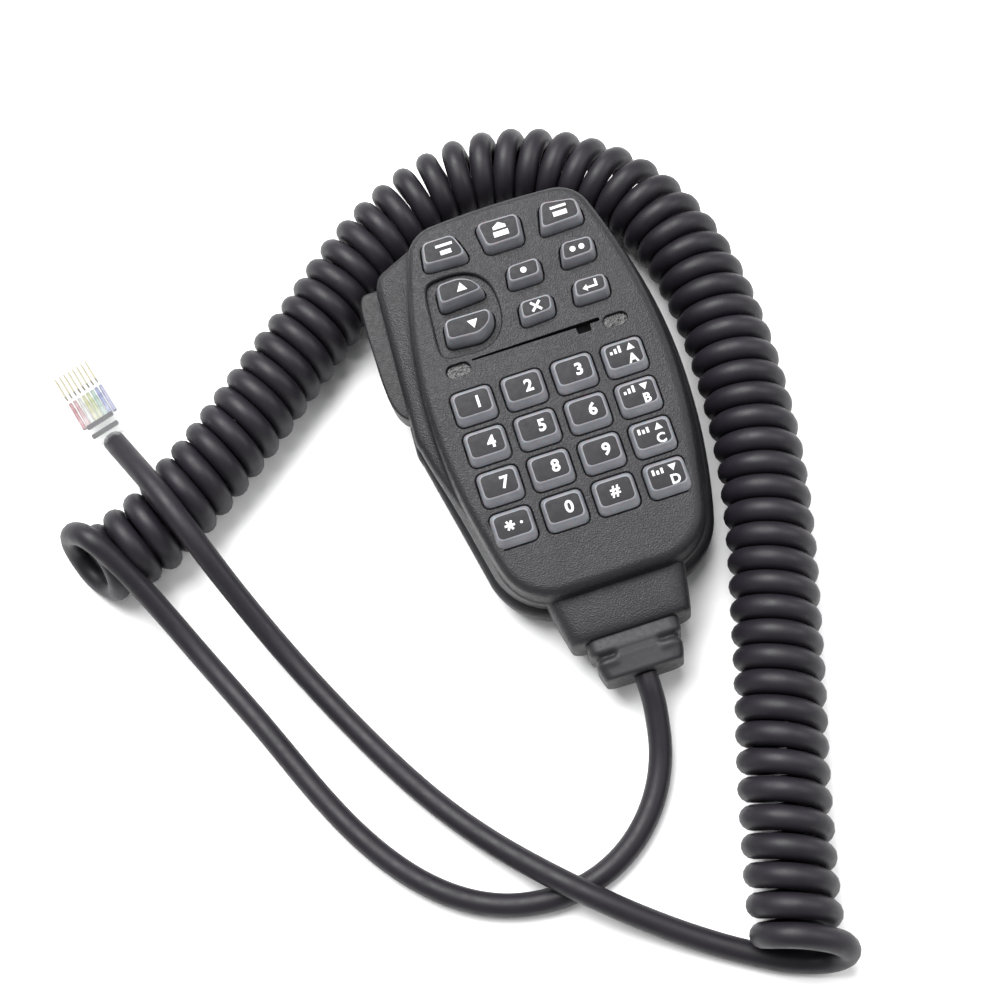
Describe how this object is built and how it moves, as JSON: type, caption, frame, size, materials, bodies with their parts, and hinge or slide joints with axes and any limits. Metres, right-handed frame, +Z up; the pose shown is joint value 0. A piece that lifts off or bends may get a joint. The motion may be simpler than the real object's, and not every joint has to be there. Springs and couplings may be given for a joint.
{
  "type": "hand microphone",
  "caption": "Hand microphone with a keypad on its face, a press-to-talk bar on one side, a curly cord and a modular plug.",
  "frame": {"origin": "on the surface it lies on, under the middle of the microphone without its cord", "axes": "+X across the keypad to the right, +Y from the neck to the head, +Z up out of the keypad"},
  "size_m": [0.1486, 0.1834, 0.0297],
  "materials": {
    "case_front": "fine pebbled",
    "case_rear": "fine pebbled",
    "steel": "zinc plated",
    "black_steel": "black",
    "silicone": "matte",
    "board": "solder mask",
    "chip": "moulded",
    "board_parts": "ceramic",
    "connector": "nylon",
    "wires": "PVC",
    "rubber": "matte",
    "lens": "frosted",
    "led": "clear",
    "button": "fine pebbled",
    "cord": "satin",
    "plug_plastic": "clear polycarbonate",
    "gold": "gold plated",
    "keys": "translucent silicone with dark tops"
  },
  "bodies": {
    "microphone": {"front_case": "case_front", "rear_case": "case_rear", "case_screws": "steel", "hanger_plate": "black_steel", "hanger_screws": "steel", "keypad_mat": "silicone", "main_board": "board", "board_screws": "steel", "controller_chip": "chip", "board_parts": "board_parts", "board_connector": "connector", "inner_wires": "wires", "mic_capsule": "steel", "mic_boot": "rubber", "indicator_lens_left": "lens", "indicator_lens_right": "lens", "indicator_leds": "led", "ptt_pin": "steel", "ptt_switch": "chip", "cord_boot": "rubber", "inner_cable": "cord", "cord_clamp": "steel", "clamp_screws": "steel", "mic_lead": "cord", "cord_coil": "cord", "plug_lead": "cord", "plug_body": "plug_plastic", "plug_contacts": "gold", "plug_wires": "wires"},
    "ptt_button": {"ptt_button": "button"},
    "plug_latch": {"plug_latch": "plug_plastic"},
    "key_1": {"key_1": "keys"},
    "key_2": {"key_2": "keys"},
    "key_3": {"key_3": "keys"},
    "key_a": {"key_a": "keys"},
    "key_4": {"key_4": "keys"},
    "key_5": {"key_5": "keys"},
    "key_6": {"key_6": "keys"},
    "key_b": {"key_b": "keys"},
    "key_7": {"key_7": "keys"},
    "key_8": {"key_8": "keys"},
    "key_9": {"key_9": "keys"},
    "key_c": {"key_c": "keys"},
    "key_star": {"key_star": "keys"},
    "key_0": {"key_0": "keys"},
    "key_hash": {"key_hash": "keys"},
    "key_d": {"key_d": "keys"},
    "key_top_left": {"key_top_left": "keys"},
    "key_top_middle": {"key_top_middle": "keys"},
    "key_top_right": {"key_top_right": "keys"},
    "key_up": {"key_up": "keys"},
    "key_down": {"key_down": "keys"},
    "key_f1": {"key_f1": "keys"},
    "key_f2": {"key_f2": "keys"},
    "key_clear": {"key_clear": "keys"},
    "key_enter": {"key_enter": "keys"}
  },
  "joints": [
    {"name": "key_1_press", "type": "slide", "parent": "microphone", "child": "key_1", "axis": [0, 0.1045, -0.9945], "range_m": [0, 0.0008], "stiffness_N_per_m": 1500},
    {"name": "key_2_press", "type": "slide", "parent": "microphone", "child": "key_2", "axis": [0, 0.1045, -0.9945], "range_m": [0, 0.0008], "stiffness_N_per_m": 1500},
    {"name": "key_3_press", "type": "slide", "parent": "microphone", "child": "key_3", "axis": [0, 0.1045, -0.9945], "range_m": [0, 0.0008], "stiffness_N_per_m": 1500},
    {"name": "key_a_press", "type": "slide", "parent": "microphone", "child": "key_a", "axis": [0, 0.1045, -0.9945], "range_m": [0, 0.0008], "stiffness_N_per_m": 1500},
    {"name": "key_4_press", "type": "slide", "parent": "microphone", "child": "key_4", "axis": [0, 0.1045, -0.9945], "range_m": [0, 0.0008], "stiffness_N_per_m": 1500},
    {"name": "key_5_press", "type": "slide", "parent": "microphone", "child": "key_5", "axis": [0, 0.1045, -0.9945], "range_m": [0, 0.0008], "stiffness_N_per_m": 1500},
    {"name": "key_6_press", "type": "slide", "parent": "microphone", "child": "key_6", "axis": [0, 0.1045, -0.9945], "range_m": [0, 0.0008], "stiffness_N_per_m": 1500},
    {"name": "key_b_press", "type": "slide", "parent": "microphone", "child": "key_b", "axis": [0, 0.1045, -0.9945], "range_m": [0, 0.0008], "stiffness_N_per_m": 1500},
    {"name": "key_7_press", "type": "slide", "parent": "microphone", "child": "key_7", "axis": [0, 0.1045, -0.9945], "range_m": [0, 0.0008], "stiffness_N_per_m": 1500},
    {"name": "key_8_press", "type": "slide", "parent": "microphone", "child": "key_8", "axis": [0, 0.1045, -0.9945], "range_m": [0, 0.0008], "stiffness_N_per_m": 1500},
    {"name": "key_9_press", "type": "slide", "parent": "microphone", "child": "key_9", "axis": [0, 0.1045, -0.9945], "range_m": [0, 0.0008], "stiffness_N_per_m": 1500},
    {"name": "key_c_press", "type": "slide", "parent": "microphone", "child": "key_c", "axis": [0, 0.1045, -0.9945], "range_m": [0, 0.0008], "stiffness_N_per_m": 1500},
    {"name": "key_star_press", "type": "slide", "parent": "microphone", "child": "key_star", "axis": [0, 0.1045, -0.9945], "range_m": [0, 0.0008], "stiffness_N_per_m": 1500},
    {"name": "key_0_press", "type": "slide", "parent": "microphone", "child": "key_0", "axis": [0, 0.1045, -0.9945], "range_m": [0, 0.0008], "stiffness_N_per_m": 1500},
    {"name": "key_hash_press", "type": "slide", "parent": "microphone", "child": "key_hash", "axis": [0, 0.1045, -0.9945], "range_m": [0, 0.0008], "stiffness_N_per_m": 1500},
    {"name": "key_d_press", "type": "slide", "parent": "microphone", "child": "key_d", "axis": [0, 0.1045, -0.9945], "range_m": [0, 0.0008], "stiffness_N_per_m": 1500},
    {"name": "key_top_left_press", "type": "slide", "parent": "microphone", "child": "key_top_left", "axis": [0, 0.1045, -0.9945], "range_m": [0, 0.0008], "stiffness_N_per_m": 1500},
    {"name": "key_top_middle_press", "type": "slide", "parent": "microphone", "child": "key_top_middle", "axis": [0, 0.1045, -0.9945], "range_m": [0, 0.0008], "stiffness_N_per_m": 1500},
    {"name": "key_top_right_press", "type": "slide", "parent": "microphone", "child": "key_top_right", "axis": [0, 0.1045, -0.9945], "range_m": [0, 0.0008], "stiffness_N_per_m": 1500},
    {"name": "key_up_press", "type": "slide", "parent": "microphone", "child": "key_up", "axis": [0, 0.1045, -0.9945], "range_m": [0, 0.0008], "stiffness_N_per_m": 1500},
    {"name": "key_down_press", "type": "slide", "parent": "microphone", "child": "key_down", "axis": [0, 0.1045, -0.9945], "range_m": [0, 0.0008], "stiffness_N_per_m": 1500},
    {"name": "key_f1_press", "type": "slide", "parent": "microphone", "child": "key_f1", "axis": [0, 0.1045, -0.9945], "range_m": [0, 0.0008], "stiffness_N_per_m": 1500},
    {"name": "key_f2_press", "type": "slide", "parent": "microphone", "child": "key_f2", "axis": [0, 0.1045, -0.9945], "range_m": [0, 0.0008], "stiffness_N_per_m": 1500},
    {"name": "key_clear_press", "type": "slide", "parent": "microphone", "child": "key_clear", "axis": [0, 0.1045, -0.9945], "range_m": [0, 0.0008], "stiffness_N_per_m": 1500},
    {"name": "key_enter_press", "type": "slide", "parent": "microphone", "child": "key_enter", "axis": [0, 0.1045, -0.9945], "range_m": [0, 0.0008], "stiffness_N_per_m": 1500},
    {"name": "ptt_press", "type": "hinge", "parent": "microphone", "child": "ptt_button", "pos_m": [-0.0236, 0.03921, 0.01518], "axis": [0, -0.1045, 0.9945], "range_deg": [0, 3], "stiffness_Nm_per_rad": 1.5},
    {"name": "latch_press", "type": "hinge", "parent": "microphone", "child": "plug_latch", "pos_m": [-0.08959, 0.04776, 0.00456], "axis": [-0.9613, -0.2756, 0], "range_deg": [0, 10], "stiffness_Nm_per_rad": 0.5}
  ]
}
